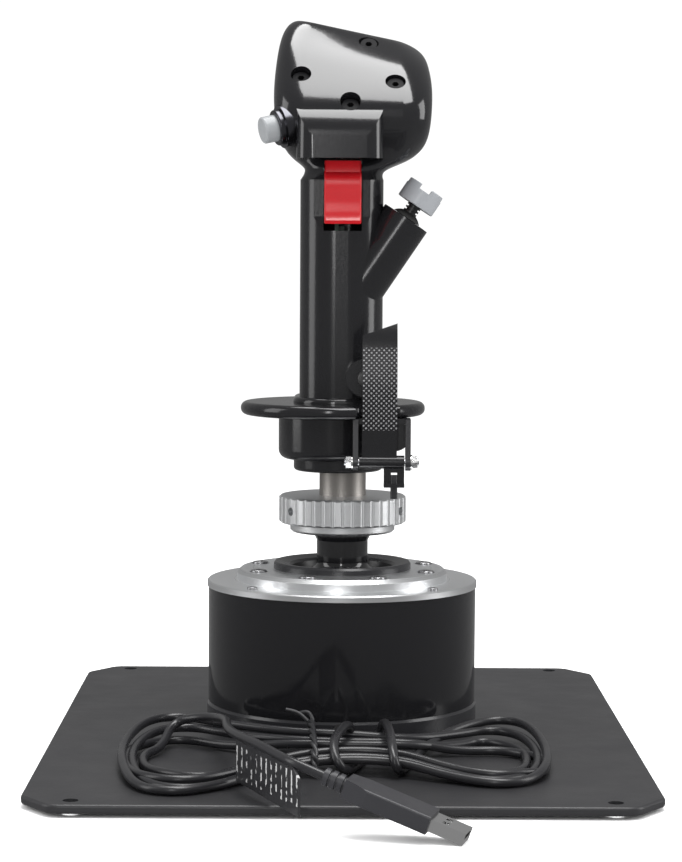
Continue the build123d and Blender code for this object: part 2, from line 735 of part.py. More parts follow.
with BuildPart() as grip_shell_left:
    add(handle.part)
    split(bisect_by=Plane.YZ, keep=Keep.TOP)
finish(grip_shell_left.part, "grip_shell_left")

with BuildPart() as grip_base_cap:
    with BuildSketch(level(cap_bottom, cap_x, 0)):
        Circle(cap_diameter / 2)
    extrude(amount=collar_bottom - cap_bottom)
    fillet(grip_base_cap.faces().sort_by(Axis.Z)[0].edges(), 1.5)
    add(rod(level(0), tube_radius, cap_bottom - 1, collar_bottom + 1), mode=Mode.SUBTRACT)
finish(grip_base_cap.part, "grip_base_cap")

notch_left = lever_x - 2.2
notch_right = lever_x + lever_width + 4.0
notch_back = lever_pivot_depth - 2.5
with BuildPart() as hand_rest:
    with BuildSketch(level(rest_bottom, collar_x, 0)):
        Circle(rest_diameter / 2)
    extrude(amount=rest_thickness)
    with BuildSketch(level(rest_bottom)):
        with Locations(((notch_left + notch_right) / 2, -notch_back - 20)):
            RectangleRounded(notch_right - notch_left, 40, 2)
    extrude(amount=rest_thickness, mode=Mode.SUBTRACT)
    fillet(hand_rest.edges().filter_by(Plane.XY), rest_thickness / 2 - 0.15)
    with BuildSketch(level(rest_top - 1, grip_x, grip_y)):
        handle_outline(2.6)
    extrude(amount=1 + rest_lip)
    fillet(hand_rest.faces().sort_by(Axis.Z)[-1].edges(), 2.0)
    with BuildSketch(level(rest_bottom - 1, grip_x, grip_y)):
        handle_outline(fit_gap)
    extrude(amount=rest_thickness + rest_lip + 2, mode=Mode.SUBTRACT)
finish(hand_rest.part, "hand_rest")

with BuildPart() as grip_board:
    with BuildSketch(side_on(-4)):
        with Locations((4, 200)):
            Rectangle(24, 70)
    extrude(amount=board_thickness)
    with BuildSketch(side_on(-4 + board_thickness)):
        with Locations((4, 215)):
            Rectangle(7, 7)
        with Locations((4, 175)):
            Rectangle(14, 5)
    extrude(amount=2.5)
finish(grip_board.part, "grip_board")

# ------------------------------------------------------------------ trigger and buttons


def bent_bar(start, points, width):
    """A bar of the given width across X, from a closed smooth outline seen from the side."""
    with BuildPart() as bar:
        with BuildSketch(side_on(start)):
            with BuildLine():
                Spline(*points[0])
                Polyline(points[0][-1], *points[1], points[0][0])
            make_face()
        extrude(amount=width)
    return bar.part


trigger_face = [(-25.6, 241.0), (-28.7, 236.2), (-27.6, 230.5), (-27.6, 225.0), (-29.6, 220.8)]
trigger_back = [(-28.6, 219.4), (-26.4, 219.6), (-22.8, 226.5), (-19.5, 235.0), (-10.8, 239.0),
                (-10.8, 243.6), (-13.5, 245.4), (-24.4, 245.7)]
with BuildPart() as trigger:
    add(bent_bar(trigger_x - trigger_width / 2, (trigger_face, trigger_back), trigger_width))
    side_faces = trigger.faces().sort_by(Axis.X)
    fillet(side_faces[0].edges() + side_faces[-1].edges(), 0.7)
    add(rod(trigger_pin_plane, trigger_pin_radius + running_gap, -20, 20), mode=Mode.SUBTRACT)
finish(trigger.part, "trigger")

finish(rod(trigger_pin_plane, trigger_pin_radius, -13.5, 11.5), "trigger_pin")

with BuildPart() as side_button_collar:
    add(rod(button_plane, button_collar_radius, -button_depth, 2.0))
    add(rod(button_plane, button_radius + 1.9, 2.0, 4.5))
    fillet(side_button_collar.edges().filter_by(GeomType.CIRCLE).sort_by(Axis(button_plane.origin,
           button_plane.z_dir))[-1], 0.7)
    add(rod(button_plane, button_radius + running_gap + 0.05, -button_depth + 2, 5), mode=Mode.SUBTRACT)
    add(rod(button_plane, 2.5, -button_depth - 1, 0), mode=Mode.SUBTRACT)
finish(side_button_collar.part, "side_button_collar")

with BuildPart() as side_button:
    add(rod(button_plane, button_radius, -3.0, 10.4))
    fillet(side_button.faces().sort_by(Axis(button_plane.origin, button_plane.z_dir))[-1].edges(), 0.9)
    add(rod(button_plane, 2.2, -button_depth + 2.8, -3.0))
finish(side_button.part, "side_button")

with BuildPart() as weapon_button:
    add(rod(weapon_plane, weapon_button_diameter / 2, -6.0, 4.0))
    fillet(weapon_button.faces().sort_by(Axis.Y)[-1].edges(), 1.5)
finish(weapon_button.part, "weapon_button")

# ------------------------------------------------------------------ hats


def hat_socket(plane, rim):
    """The cup that a hat's pivot cross turns in; its rim stands rim above the pivot."""
    with BuildPart() as cup:
        add(rod(plane, hat_socket_radius, -hat_floor, rim))
        add(rod(plane, hat_well_radius, 2.5, rim + 1), mode=Mode.SUBTRACT)
        add(rod(plane, hat_cup_radius, -hat_floor + 1.2, 3), mode=Mode.SUBTRACT)
        across = Plane(origin=plane.origin, x_dir=plane.z_dir, z_dir=plane.x_dir)
        add(rod(across, hat_pin_radius + running_gap, -hat_socket_radius + 0.8, hat_socket_radius - 0.8),
            mode=Mode.SUBTRACT)
    return cup.part


def hat_cross(plane):
    """Two crossed pins: the long one turns in the socket, and the hat's hub turns on the short one."""
    with BuildPart() as cross:
        across = Plane(origin=plane.origin, x_dir=plane.z_dir, z_dir=plane.x_dir)
        along = Plane(origin=plane.origin, x_dir=plane.z_dir, z_dir=plane.y_dir)
        add(rod(across, hat_pin_radius, -hat_socket_radius + 1.4, hat_socket_radius - 1.4))
        add(rod(along, hat_pin_radius, -hat_hub_radius + 0.4, hat_hub_radius - 0.4))
    return cross.part


def hat_hub(plane, top):
    """The ball of a hat, bored for the pivot cross, with its stem up to top."""
    with BuildPart() as hub:
        with Locations(plane):
            Sphere(hat_hub_radius)
        add(rod(plane, hat_stem_diameter / 2, 3, top))
        across = Plane(origin=plane.origin, x_dir=plane.z_dir, z_dir=plane.x_dir)
        along = Plane(origin=plane.origin, x_dir=plane.z_dir, z_dir=plane.y_dir)
        add(rod(across, hat_pin_radius + 1.1, -hat_hub_radius, hat_hub_radius), mode=Mode.SUBTRACT)
        add(rod(along, hat_pin_radius + running_gap, -hat_hub_radius, hat_hub_radius), mode=Mode.SUBTRACT)
    return hub.part


def hat_dome(plane, hole_radius):
    """The thin dome that turns with a hat and closes its socket."""
    with BuildPart() as dome:
        with Locations(plane):
            Sphere(hat_dome_radius)
            Sphere(hat_dome_radius - 1.0, mode=Mode.SUBTRACT)
        with BuildSketch(plane.offset(hat_dome_radius * cos(radians(hat_dome_angle)))):
            Rectangle(40, 40)
        extrude(amount=-30, mode=Mode.SUBTRACT)
        add(rod(plane, hole_radius, 0, 20), mode=Mode.SUBTRACT)
    return dome.part


def castle_cap(plane, bottom, diameter, height):
    """A hat's cap: a dished drum whose rim is cut into four merlons."""
    with BuildPart() as cap:
        add(rod(plane, diameter / 2, bottom, bottom + height))
        fillet(cap.edges().filter_by(GeomType.CIRCLE), 0.5)
        with Locations(plane.offset(bottom + height + diameter * 0.42)):
            Sphere(diameter * 0.55, mode=Mode.SUBTRACT)
        with BuildSketch(plane.offset(bottom + height)):
            Rectangle(diameter + 2, diameter * 0.3)
            Rectangle(diameter * 0.3, diameter + 2)
        extrude(amount=-height * 0.24, mode=Mode.SUBTRACT)
    return cap.part


with BuildPart() as rear_hat_sockets:
    for plane in rear_hat_planes:
        add(hat_socket(plane, hat_depth))
finish(rear_hat_sockets.part, "rear_hat_sockets")

hat_cap_bottom = hat_depth + 3.6
for name, plane in (("upper_hat", upper_hat_plane), ("lower_hat", lower_hat_plane)):
    finish(hat_cross(plane), name + "_cross")
    with BuildPart() as rear_hat:
        add(hat_hub(plane, hat_cap_bottom))
        add(hat_dome(plane, hat_stem_diameter / 2 - 0.1))
        add(castle_cap(plane, hat_cap_bottom, hat_diameter * 0.9, hat_height * 0.85))
    finish(rear_hat.part, name)

finish(hat_cross(trim_hat_plane), "trim_hat_cross")
with BuildPart() as trim_hat:
    add(hat_hub(trim_hat_plane, hat_cap_bottom))
    add(hat_dome(trim_hat_plane, hat_stem_diameter / 2 - 0.1))
    with BuildSketch(trim_hat_plane.offset(hat_cap_bottom - 1)):
        Circle(4.5)
    with BuildSketch(trim_hat_plane.offset(hat_cap_bottom + 5)):
        Circle(6.2)
    loft()
    with BuildSketch(trim_hat_plane.offset(hat_cap_bottom + 5)):
        with GridLocations(2.6, 20, 4, 1):
            Rectangle(1.0, 14)
        with GridLocations(20, 2.6, 1, 4):
            Rectangle(14, 1.0)
    extrude(amount=-0.8, mode=Mode.SUBTRACT)
finish(trim_hat.part, "trim_hat")

side_rim = hat_depth - side_hat_rise
finish(hat_socket(side_hat_plane, side_rim), "side_hat_slider")
finish(hat_cross(side_hat_plane), "side_hat_cross")
side_cap_bottom = side_rim + 6.5
rib_height = 0.8
with BuildPart() as side_hat:
    add(hat_hub(side_hat_plane, side_cap_bottom))
    for k in range(3):
        add(rod(side_hat_plane, hat_stem_diameter / 2 + rib_height, side_cap_bottom - 0.9 - 1.5 * k,
                side_cap_bottom - 0.1 - 1.5 * k))
    add(castle_cap(side_hat_plane, side_cap_bottom, hat_diameter, hat_height))
finish(side_hat.part, "side_hat")
finish(hat_dome(side_hat_plane, hat_stem_diameter / 2 + rib_height), "side_hat_boot")

# ------------------------------------------------------------------ paddle lever

lever_axis_plane = facing((0, lever_y, lever_pivot_height), (1, 0, 0), (0, 1, 0))
lever_pin_radius = lever_pin_diameter / 2
barrel_radius = lever_barrel_diameter / 2
barrel_left = lever_x - 1.2
barrel_right = lever_x + lever_width + 3.2
# Line of the lever's outer face, as distance in front of its pivot and height above it.
lever_bow = [(2.0, 1.0), (3.2, 12.0), (5.0, 26.0), (4.6, 40.0), (2.3, 50.0), (-1.6, 58.6)]
lever_slant = 5.0
outer_face = [(-lever_pivot_depth - out, lever_pivot_height + up) for out, up in lever_bow]
inner_face = [(y + lever_thickness, z) for y, z in outer_face]

with BuildPart() as paddle_lever:
    with BuildSketch(side_on(lever_x)):
        with BuildLine():
            Spline(*outer_face)
            Line(outer_face[-1], inner_face[-1])
            Spline(*reversed(inner_face))
            Line(inner_face[0], outer_face[0])
        make_face()
    extrude(amount=lever_width)
    slant = Plane(origin=(lever_x + lever_width / 2, lever_y, lever_pivot_height + lever_bow[-1][1] - 3.1))
    split(bisect_by=slant.rotated((0, -degrees(atan2(lever_slant, lever_width)), 0)), keep=Keep.BOTTOM)
    add(rod(lever_axis_plane, barrel_radius, barrel_left, barrel_right))
    with BuildSketch(side_on(lever_x + 9.2)):
        with BuildLine():
            foot_z = lever_pivot_height - 10.4
            Polyline((-lever_pivot_depth - 1, lever_pivot_height), (-lever_pivot_depth - 1, foot_z + 1.5),
                     (-lever_pivot_depth - 4.2, foot_z + 1.5), (-lever_pivot_depth - 4.2, foot_z),
                     (-lever_pivot_depth + 3.2, foot_z), (-lever_pivot_depth + 3.2, foot_z + 1.5),
                     (-lever_pivot_depth + 0.5, foot_z + 1.5), (-lever_pivot_depth + 0.5, lever_pivot_height),
                     close=True)
        make_face()
    extrude(amount=8.6)
    stop_plane = level(foot_z, lever_x + 13.5, -lever_pivot_depth - 0.2)
    add(rod(stop_plane, 1.5, -1, 6), mode=Mode.SUBTRACT)
    add(rod(lever_axis_plane, lever_pin_radius + running_gap, barrel_left - 1, barrel_right + 1),
        mode=Mode.SUBTRACT)
finish(paddle_lever.part, "paddle_lever")

finish(rod(stop_plane, 1.5, -5.0, 5.0), "lever_stop_screw")

ear_left = barrel_left - 0.4
ear_right = barrel_right + 0.4
ear_plate = 2.2
with BuildPart() as lever_bracket:
    for inner, thickness in ((ear_left, -ear_plate), (ear_right, ear_plate)):
        with BuildSketch(side_on(inner)):
            with Locations((-lever_pivot_depth, lever_pivot_height)):
                Circle(3.6)
            with BuildLine():
                Polyline((-lever_pivot_depth - 3.2, lever_pivot_height - 1.5), (-lever_pivot_depth - 2.0, rest_bottom),
                         (-20.5, rest_bottom), (-lever_pivot_depth + 3.2, lever_pivot_height - 1.5), close=True)
            make_face()
        extrude(amount=thickness)
    with BuildSketch(level(rest_bottom - 2.4)):
        with Locations(((ear_left + ear_right) / 2, -(notch_back + 20.5) / 2 + 0.5)):
            Rectangle(ear_right - ear_left + 1, notch_back - 20.5)
    extrude(amount=2.4)
    add(rod(facing((lever_x + lever_width - 0.6, stick_y - 26.5, 130.5), (0, -1, 0)), 6.2, -5.5, 0))
    with BuildSketch(level(rest_bottom - 8)):
        with Locations((lever_x + lever_width - 0.6, -23.8)):
            Rectangle(8, 5.4)
    extrude(amount=8)
    add(rod(lever_axis_plane, lever_pin_radius, ear_left - 5, ear_right + 5), mode=Mode.SUBTRACT)
    add(rod(level(0, collar_x), collar_diameter / 2 + fit_gap, collar_bottom, rest_bottom + 1),
        mode=Mode.SUBTRACT)
finish(lever_bracket.part, "lever_bracket")

finish(rod(lever_axis_plane, lever_pin_radius, ear_left - ear_plate - 3.6, ear_right + ear_plate + 3.6),
       "hinge_pin")

with BuildPart() as hinge_nuts:
    for start, side in ((ear_left - ear_plate, -1), (ear_right + ear_plate, 1)):
        add(rod(lever_axis_plane, 3.1, start, start + side * 0.7))
        with BuildSketch(lever_axis_plane.offset(start + side * 0.7)):
            RegularPolygon(2.7, 6)
        extrude(amount=side * 2.2)
    add(rod(lever_axis_plane, lever_pin_radius, ear_left - 10, ear_right + 10), mode=Mode.SUBTRACT)
finish(hinge_nuts.part, "hinge_nuts")

plunger_tip = lever_pivot_depth + 2.9 - 20.0
with BuildPart() as lever_plunger:
    add(rod(housing_plane, plunger_diameter / 2, -2.0, plunger_tip))
    fillet(lever_plunger.faces().sort_by(Axis.Y)[0].edges(), 1.2)
finish(lever_plunger.part, "lever_plunger")

# ------------------------------------------------------------------ cable

hank_top = 16.0
hank_back = gland_plane.origin.Y - gland_reach - 1.0
hank_outline = [(-91, -62), (-91, -112), (-74, -146), (-54, -146), (-46, -112), (-20, -108), (20, -108),
                (44, -134), (68, -132), (84, -108), (84, -62), (72, -20), (58, -24), (28, hank_back),
                (-24, hank_back), (-58, -26), (-76, -18)]
with BuildPart() as cable_hank:
    with BuildSketch(Plane.XY.offset(plate_top)):
        with BuildLine():
            Polyline(*hank_outline, close=True)
        make_face()
        fillet(vertices(), 6)
    extrude(amount=hank_top - plate_top)
    fillet(cable_hank.faces().sort_by(Axis.Z)[-1].edges(), 3.0)
finish(cable_hank.part, "cable_hank")

# The free end of the cable, from the hank up over it and down to the plug.
plug_heading = radians(15)
plug_dip = radians(19.5)
plug_start = Vector(0.9, -182.9, 18.1)
plug_direction = Vector(cos(plug_heading) * cos(plug_dip), -sin(plug_heading) * cos(plug_dip), -sin(plug_dip))
tail_end = plug_start - plug_direction * plug_relief
tail_bend = tail_end - plug_direction * 11.5
tail_points = [(-70, -40, 14), (-58, -46, 17.6), (-49.5, -59, 19.6), (-46, -77, 21.6), (-45.5, -96, 23.6),
               (-43.5, -115, 24.8), (-38.5, -133, 25.9), (-31.5, -150, 26.4), (-24, -165, 25.4),
               tuple(tail_bend), tuple(tail_end)]
tail_radii = []
for before, here, after in zip(tail_points, tail_points[1:], tail_points[2:]):
    run_in = Vector(*here) - Vector(*before)
    run_out = Vector(*after) - Vector(*here)
    half_turn = radians(run_in.get_angle(run_out)) / 2
    tail_radii.append(0.45 * min(run_in.length, run_out.length) / tan(half_turn))
print("cable radii, mm:", [round(radius, 1) for radius in tail_radii])
with BuildPart() as cable_tail:
    with BuildLine():
        route = FilletPolyline(*tail_points, radius=tail_radii)
    with BuildSketch(Plane(origin=route @ 0, z_dir=route % 0)):
        Circle(cable_diameter / 2)
    sweep(path=route)
print("cable length, volume over section: %.1f, %.1f" % (
    route.length, cable_tail.part.volume / (pi * cable_diameter**2 / 4)))
finish(cable_tail.part, "cable_tail")

plug_up = Vector(cos(plug_heading) * sin(plug_dip), -sin(plug_heading) * sin(plug_dip), cos(plug_dip))
plug_flat = Plane(origin=plug_start, x_dir=plug_direction, z_dir=plug_up)
plug_end_on = Plane(origin=plug_start, x_dir=plug_up, z_dir=plug_direction)
with BuildPart() as usb_plug:
    with BuildSketch(plug_flat.offset(-plug_height / 2)):
        with BuildLine():
            Polyline((0, -5.2), (9, -plug_width / 2), (plug_length, -plug_width / 2), (plug_length, plug_width / 2),
                     (9, plug_width / 2), (0, 5.2), close=True)
        make_face()
    extrude(amount=plug_height)
    fillet(usb_plug.edges().filter_by(Axis(plug_start, plug_direction)), 1.0)
    add(rod(plug_end_on, 2.7, -plug_relief, 0.5))
    for k in range(3):
        add(rod(plug_end_on, 3.4, -plug_relief + 0.4 + 2.8 * k, -plug_relief + 2.2 + 2.8 * k))
    with BuildSketch(plug_end_on.offset(plug_length)):
        Rectangle(shell_height, shell_width)
    extrude(amount=-4, mode=Mode.SUBTRACT)
finish(usb_plug.part, "usb_plug")

with BuildPart() as usb_shell:
    with BuildSketch(plug_end_on.offset(plug_length - 4)):
        Rectangle(shell_height, shell_width)
    extrude(amount=4)
    with BuildSketch(plug_end_on.offset(plug_length)):
        Rectangle(shell_height, shell_width)
        Rectangle(shell_height - 2 * shell_wall, shell_width - 2 * shell_wall, mode=Mode.SUBTRACT)
        with Locations((-0.9, 0)):
            Rectangle(1.8, shell_width - 2 * shell_wall)
    extrude(amount=shell_length)
    with BuildSketch(plug_flat):
        with Locations((plug_length + 5.2, 0)):
            with GridLocations(1, 5.4, 1, 2):
                Rectangle(2.4, 2.4)
    extrude(amount=shell_height, mode=Mode.SUBTRACT)
finish(usb_shell.part, "usb_shell")

flag_start = Vector(*tail_points[6])
flag_end = Vector(*tail_points[9])
flag_heading = Vector(flag_end.X - flag_start.X, flag_end.Y - flag_start.Y, 0)
flag_side = Plane(origin=(flag_start.X, flag_start.Y, 0), x_dir=flag_heading.normalized(),
                  z_dir=flag_heading.normalized().cross(Vector(0, 0, 1)))
with BuildPart() as label_flag:
    with BuildSketch(flag_side.offset(-0.5)):
        with BuildLine():
            Polyline((-4, flag_start.Z), (flag_heading.length - 4, flag_end.Z + 0.5),
                     (flag_heading.length + 4, flag_end.Z - 5), (flag_heading.length + 4, 6.2), (-4, 8.5), close=True)
        make_face()
    extrude(amount=1.0)
finish(label_flag.part, "label_flag")

tie_x = -12.0
tie_thickness = 1.2
with BuildPart() as cable_tie:
    with BuildSketch(Plane(origin=(tie_x, 0, 0), x_dir=(0, 1, 0), z_dir=(1, 0, 0))):
        with BuildLine():
            Polyline((hank_back, plate_top), (hank_back + tie_thickness, plate_top),
                     (hank_back + tie_thickness, hank_top + tie_thickness),
                     (-108 - tie_thickness, hank_top + tie_thickness), (-108 - tie_thickness, plate_top),
                     (-108, plate_top), (-108, hank_top), (hank_back, hank_top), close=True)
        make_face()
    extrude(amount=2.0)
finish(cable_tie.part, "cable_tie")
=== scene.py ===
"""Flight joystick: finishes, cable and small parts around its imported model."""
import math

import bmesh
import bpy
from bpy.props import FloatProperty, FloatVectorProperty, PointerProperty
from bpy.types import Operator, Panel, PropertyGroup
from mathutils import Euler, Matrix, Vector


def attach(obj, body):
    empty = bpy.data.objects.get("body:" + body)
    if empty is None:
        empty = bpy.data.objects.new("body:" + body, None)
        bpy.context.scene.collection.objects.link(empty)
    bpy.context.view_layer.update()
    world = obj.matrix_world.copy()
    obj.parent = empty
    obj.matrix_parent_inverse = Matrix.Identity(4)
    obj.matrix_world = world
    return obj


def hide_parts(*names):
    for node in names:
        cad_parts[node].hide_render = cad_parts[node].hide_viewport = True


bl_info = {
    "name": "Flight joystick",
    "version": (1, 0, 0),
    "blender": (4, 5, 0),
    "location": "3D View > Sidebar > Joystick",
    "description": "Finishes, cable and small parts of a flight joystick",
    "category": "Object",
}

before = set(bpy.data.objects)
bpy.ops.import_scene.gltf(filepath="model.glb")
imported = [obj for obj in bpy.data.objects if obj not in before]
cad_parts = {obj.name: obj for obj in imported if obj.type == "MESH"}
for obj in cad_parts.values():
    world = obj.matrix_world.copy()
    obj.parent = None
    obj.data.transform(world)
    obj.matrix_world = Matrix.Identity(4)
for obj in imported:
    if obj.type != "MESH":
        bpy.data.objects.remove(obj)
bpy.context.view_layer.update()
MM = 0.001
AXIS = Vector((0, 0.015, 0))

# Strength of the white room: as the eye and matt faces see it, and as glossy faces do.
ROOM_TO_EYE = 1.05
ROOM_IN_GLOSS = 0.26

CAMERA_LENS = 110.17
CAMERA_PLACE = (-0.00673, -1.11585, 0.21467)
# Pitch down, yaw to the right and roll, in degrees.
CAMERA_ANGLES = (4.245, 0.299, 0.331)
# Each soft light: name, place, the point that it faces, size and power.
LIGHTS = [
    ("Overhead box", (0.05, -0.05, 1.2), (0.02, 0, 0.2), (0.5, 1.25), 16),
    ("Left box", (-1.15, -0.15, 0.5), (0, 0, 0.12), (0.5, 1.0), 4),
    ("Right box", (1.15, -0.1, 0.5), (0, 0, 0.12), (0.5, 1.0), 6),
    ("Front strip", (-0.16, -1.6, 0.62), (0, 0, 0.2), (0.16, 0.9), 4),
]

DUST_COLOUR = (0.45, 0.43, 0.4)
MARK_GREY = (0.42, 0.42, 0.42)
STEM_BLACK = (0.012, 0.012, 0.013)
# Grey painted into the lever's dimples: a painted highlight on the black enamel.
DIMPLE_HIGHLIGHT_GREY = (0.32, 0.32, 0.33)

# Label: its middle, its turn about Z, the pitch of its printed bars and half the height that they fill.
LABEL_CENTRE = (-38, -134, 16)
LABEL_TURN = math.radians(-64.3)
LABEL_BAR_PITCH = 0.0046
LABEL_HALF_HEIGHT = 0.0062

# Heights between which the lever is dimpled.
DIMPLES_FROM = 0.1335
DIMPLES_TO = 0.168


def mm(*values):
    """A point given in millimetres."""
    return Vector(values) * MM


# ---------------------------------------------------------------- settings


class JoystickSizes(PropertyGroup):
    """Sizes of the pieces made here, in metres."""

    cable_diameter: FloatProperty(
        name="Cable", description="Diameter of the cable", default=0.0036, unit="LENGTH")
    tie_wire: FloatProperty(
        name="Tie wire", description="Diameter of each wire of the twisted tie", default=0.0016,
        unit="LENGTH")
    dimple_pitch: FloatProperty(
        name="Dimple pitch", description="Spacing of the dimples on the lever", default=0.0021, unit="LENGTH")


class JoystickColours(PropertyGroup):
    """Base colours of the finishes."""

    gloss_black: FloatVectorProperty(
        name="Gloss black", description="Grip, head and drum", subtype="COLOR", size=3,
        default=(0.008, 0.008, 0.009))
    satin_black: FloatVectorProperty(
        name="Satin black", description="Plate and rings", subtype="COLOR", size=3,
        default=(0.018, 0.018, 0.02))
    aluminium: FloatVectorProperty(
        name="Aluminium", description="Flange, lock ring and lever", subtype="COLOR", size=3,
        default=(0.86, 0.87, 0.88))
    trigger_red: FloatVectorProperty(
        name="Trigger red", description="Trigger and the red button", subtype="COLOR", size=3,
        default=(0.38, 0.006, 0.01))
    cable_black: FloatVectorProperty(
        name="Cable black", description="Cable and plug", subtype="COLOR", size=3,
        default=(0.014, 0.014, 0.016))
    backdrop: FloatVectorProperty(
        name="Backdrop", description="Floor and wall behind", subtype="COLOR", size=3,
        default=(0.97, 0.97, 0.97))


def sizes():
    return bpy.context.scene.joystick_sizes


def colours():
    return bpy.context.scene.joystick_colours


# ---------------------------------------------------------------- shader groups


def new_group(name, inputs, outputs):
    """A shader node group with its sockets; returns the group, its input node and its output node."""
    group = bpy.data.node_groups.new(name, "ShaderNodeTree")
    for label, kind, value in inputs:
        socket = group.interface.new_socket(name=label, in_out="INPUT", socket_type=kind)
        socket.default_value = value
    for label, kind in outputs:
        group.interface.new_socket(name=label, in_out="OUTPUT", socket_type=kind)
    return group, group.nodes.new("NodeGroupInput"), group.nodes.new("NodeGroupOutput")


def calculate(tree, operation, *values):
    """The result of a Math node; each value is a number or a socket."""
    node = tree.nodes.new("ShaderNodeMath")
    node.operation = operation
    for slot, value in enumerate(values):
        if isinstance(value, (int, float)):
            node.inputs[slot].default_value = value
        else:
            tree.links.new(value, node.inputs[slot])
    return node.outputs[0]


def noise(tree, vector, scale, detail=3.0, roughness=0.55):
    """Noise at a place, as a value round one half."""
    node = tree.nodes.new("ShaderNodeTexNoise")
    node.inputs["Detail"].default_value = detail
    node.inputs["Roughness"].default_value = roughness
    tree.links.new(vector, node.inputs["Vector"])
    if isinstance(scale, (int, float)):
        node.inputs["Scale"].default_value = scale
    else:
        tree.links.new(scale, node.inputs["Scale"])
    return node.outputs["Fac"]


def ramp(tree, value, low, high, to_low=0.0, to_high=1.0):
    """Value stretched from low..high to to_low..to_high, and held within them."""
    node = tree.nodes.new("ShaderNodeMapRange")
    tree.links.new(value, node.inputs["Value"])
    ends = {"From Min": low, "From Max": high, "To Min": to_low, "To Max": to_high}
    for label, number in ends.items():
        node.inputs[label].default_value = number
    return node.outputs["Result"]


def split_xyz(tree, vector):
    """The three parts of a vector."""
    node = tree.nodes.new("ShaderNodeSeparateXYZ")
    tree.links.new(vector, node.inputs[0])
    return node.outputs


def between(tree, value, low, high):
    """One where the value lies between low and high, and nothing elsewhere."""
    return calculate(tree, "MULTIPLY", calculate(tree, "GREATER_THAN", value, low),
                     calculate(tree, "LESS_THAN", value, high))


def build_grain_group():
    """Fine moulded or painted grain: a height and a slow drift for the roughness."""
    group, inlet, outlet = new_group(
        "Grain", [("Vector", "NodeSocketVector", (0, 0, 0)), ("Scale", "NodeSocketFloat", 900.0)],
        [("Height", "NodeSocketFloat"), ("Drift", "NodeSocketFloat")])
    fine = noise(group, inlet.outputs["Vector"], inlet.outputs["Scale"], 2.0)
    slow_scale = calculate(group, "MULTIPLY", inlet.outputs["Scale"], 0.03)
    slow = noise(group, inlet.outputs["Vector"], slow_scale, 4.0)
    group.links.new(fine, outlet.inputs["Height"])
    group.links.new(slow, outlet.inputs["Drift"])
    return group


def build_lathe_group():
    """Turning marks round a vertical axis: rings on flat faces and bands on upright ones."""
    group, inlet, outlet = new_group(
        "Lathe marks", [("Vector", "NodeSocketVector", (0, 0, 0)), ("Pitch", "NodeSocketFloat", 0.0004)],
        [("Height", "NodeSocketFloat"), ("Drift", "NodeSocketFloat")])
    x, y, z = split_xyz(group, inlet.outputs["Vector"])
    squares = [calculate(group, "MULTIPLY", side, side) for side in (x, y)]
    across = calculate(group, "SQRT", calculate(group, "ADD", *squares))
    join = group.nodes.new("ShaderNodeCombineXYZ")
    group.links.new(calculate(group, "DIVIDE", across, inlet.outputs["Pitch"]), join.inputs[0])
    group.links.new(calculate(group, "DIVIDE", z, inlet.outputs["Pitch"]), join.inputs[2])
    rings = noise(group, join.outputs[0], 1.0, 2.0)
    slow = noise(group, join.outputs[0], 0.07, 2.0)
    group.links.new(rings, outlet.inputs["Height"])
    group.links.new(slow, outlet.inputs["Drift"])
    return group


def build_dimple_group():
    """Staggered round dimples on a face seen along Y: a height and a mask of the hollows."""
    group, inlet, outlet = new_group(
        "Dimples", [("Vector", "NodeSocketVector", (0, 0, 0)), ("Pitch", "NodeSocketFloat", 0.0021)],
        [("Height", "NodeSocketFloat"), ("Hollow", "NodeSocketFloat")])
    x, _, z = split_xyz(group, inlet.outputs["Vector"])
    squares = []
    for operation in ("ADD", "SUBTRACT"):
        line = calculate(group, "DIVIDE", calculate(group, operation, x, z), inlet.outputs["Pitch"])
        cell = calculate(group, "SUBTRACT", calculate(group, "FRACT", line), 0.5)
        squares.append(calculate(group, "MULTIPLY", cell, cell))
    distance = calculate(group, "SQRT", calculate(group, "ADD", *squares))
    group.links.new(ramp(group, distance, 0.18, 0.38), outlet.inputs["Height"])
    group.links.new(ramp(group, distance, 0.2, 0.34, 1.0, 0.0), outlet.inputs["Hollow"])
    return group


def build_dust_group():
    """Settled dust: specks and a haze that gather on faces that look up."""
    group, inlet, outlet = new_group(
        "Dust", [("Vector", "NodeSocketVector", (0, 0, 0)), ("Amount", "NodeSocketFloat", 0.2)],
        [("Mask", "NodeSocketFloat")])
    geometry = group.nodes.new("ShaderNodeNewGeometry")
    _, _, rise = split_xyz(group, geometry.outputs["Normal"])
    upward = ramp(group, rise, 0.2, 1.0)
    specks = ramp(group, noise(group, inlet.outputs["Vector"], 1400.0, 1.0), 0.68, 0.74)
    haze = ramp(group, noise(group, inlet.outputs["Vector"], 30.0, 4.0), 0.35, 0.75)
    both = calculate(group, "ADD", calculate(group, "MULTIPLY", specks, 0.5),
                     calculate(group, "MULTIPLY", haze, 0.35))
    settled = calculate(group, "MULTIPLY", both, upward)
    group.links.new(calculate(group, "MULTIPLY", settled, inlet.outputs["Amount"]), outlet.inputs["Mask"])
    return group


GROUPS = {}


def shared_group(name):
    """The named shader group, made the first time that it is asked for."""
    makers = {"Grain": build_grain_group, "Lathe marks": build_lathe_group,
              "Dimples": build_dimple_group, "Dust": build_dust_group}
    if name not in GROUPS:
        GROUPS[name] = makers[name]()
    return GROUPS[name]


# ---------------------------------------------------------------- materials


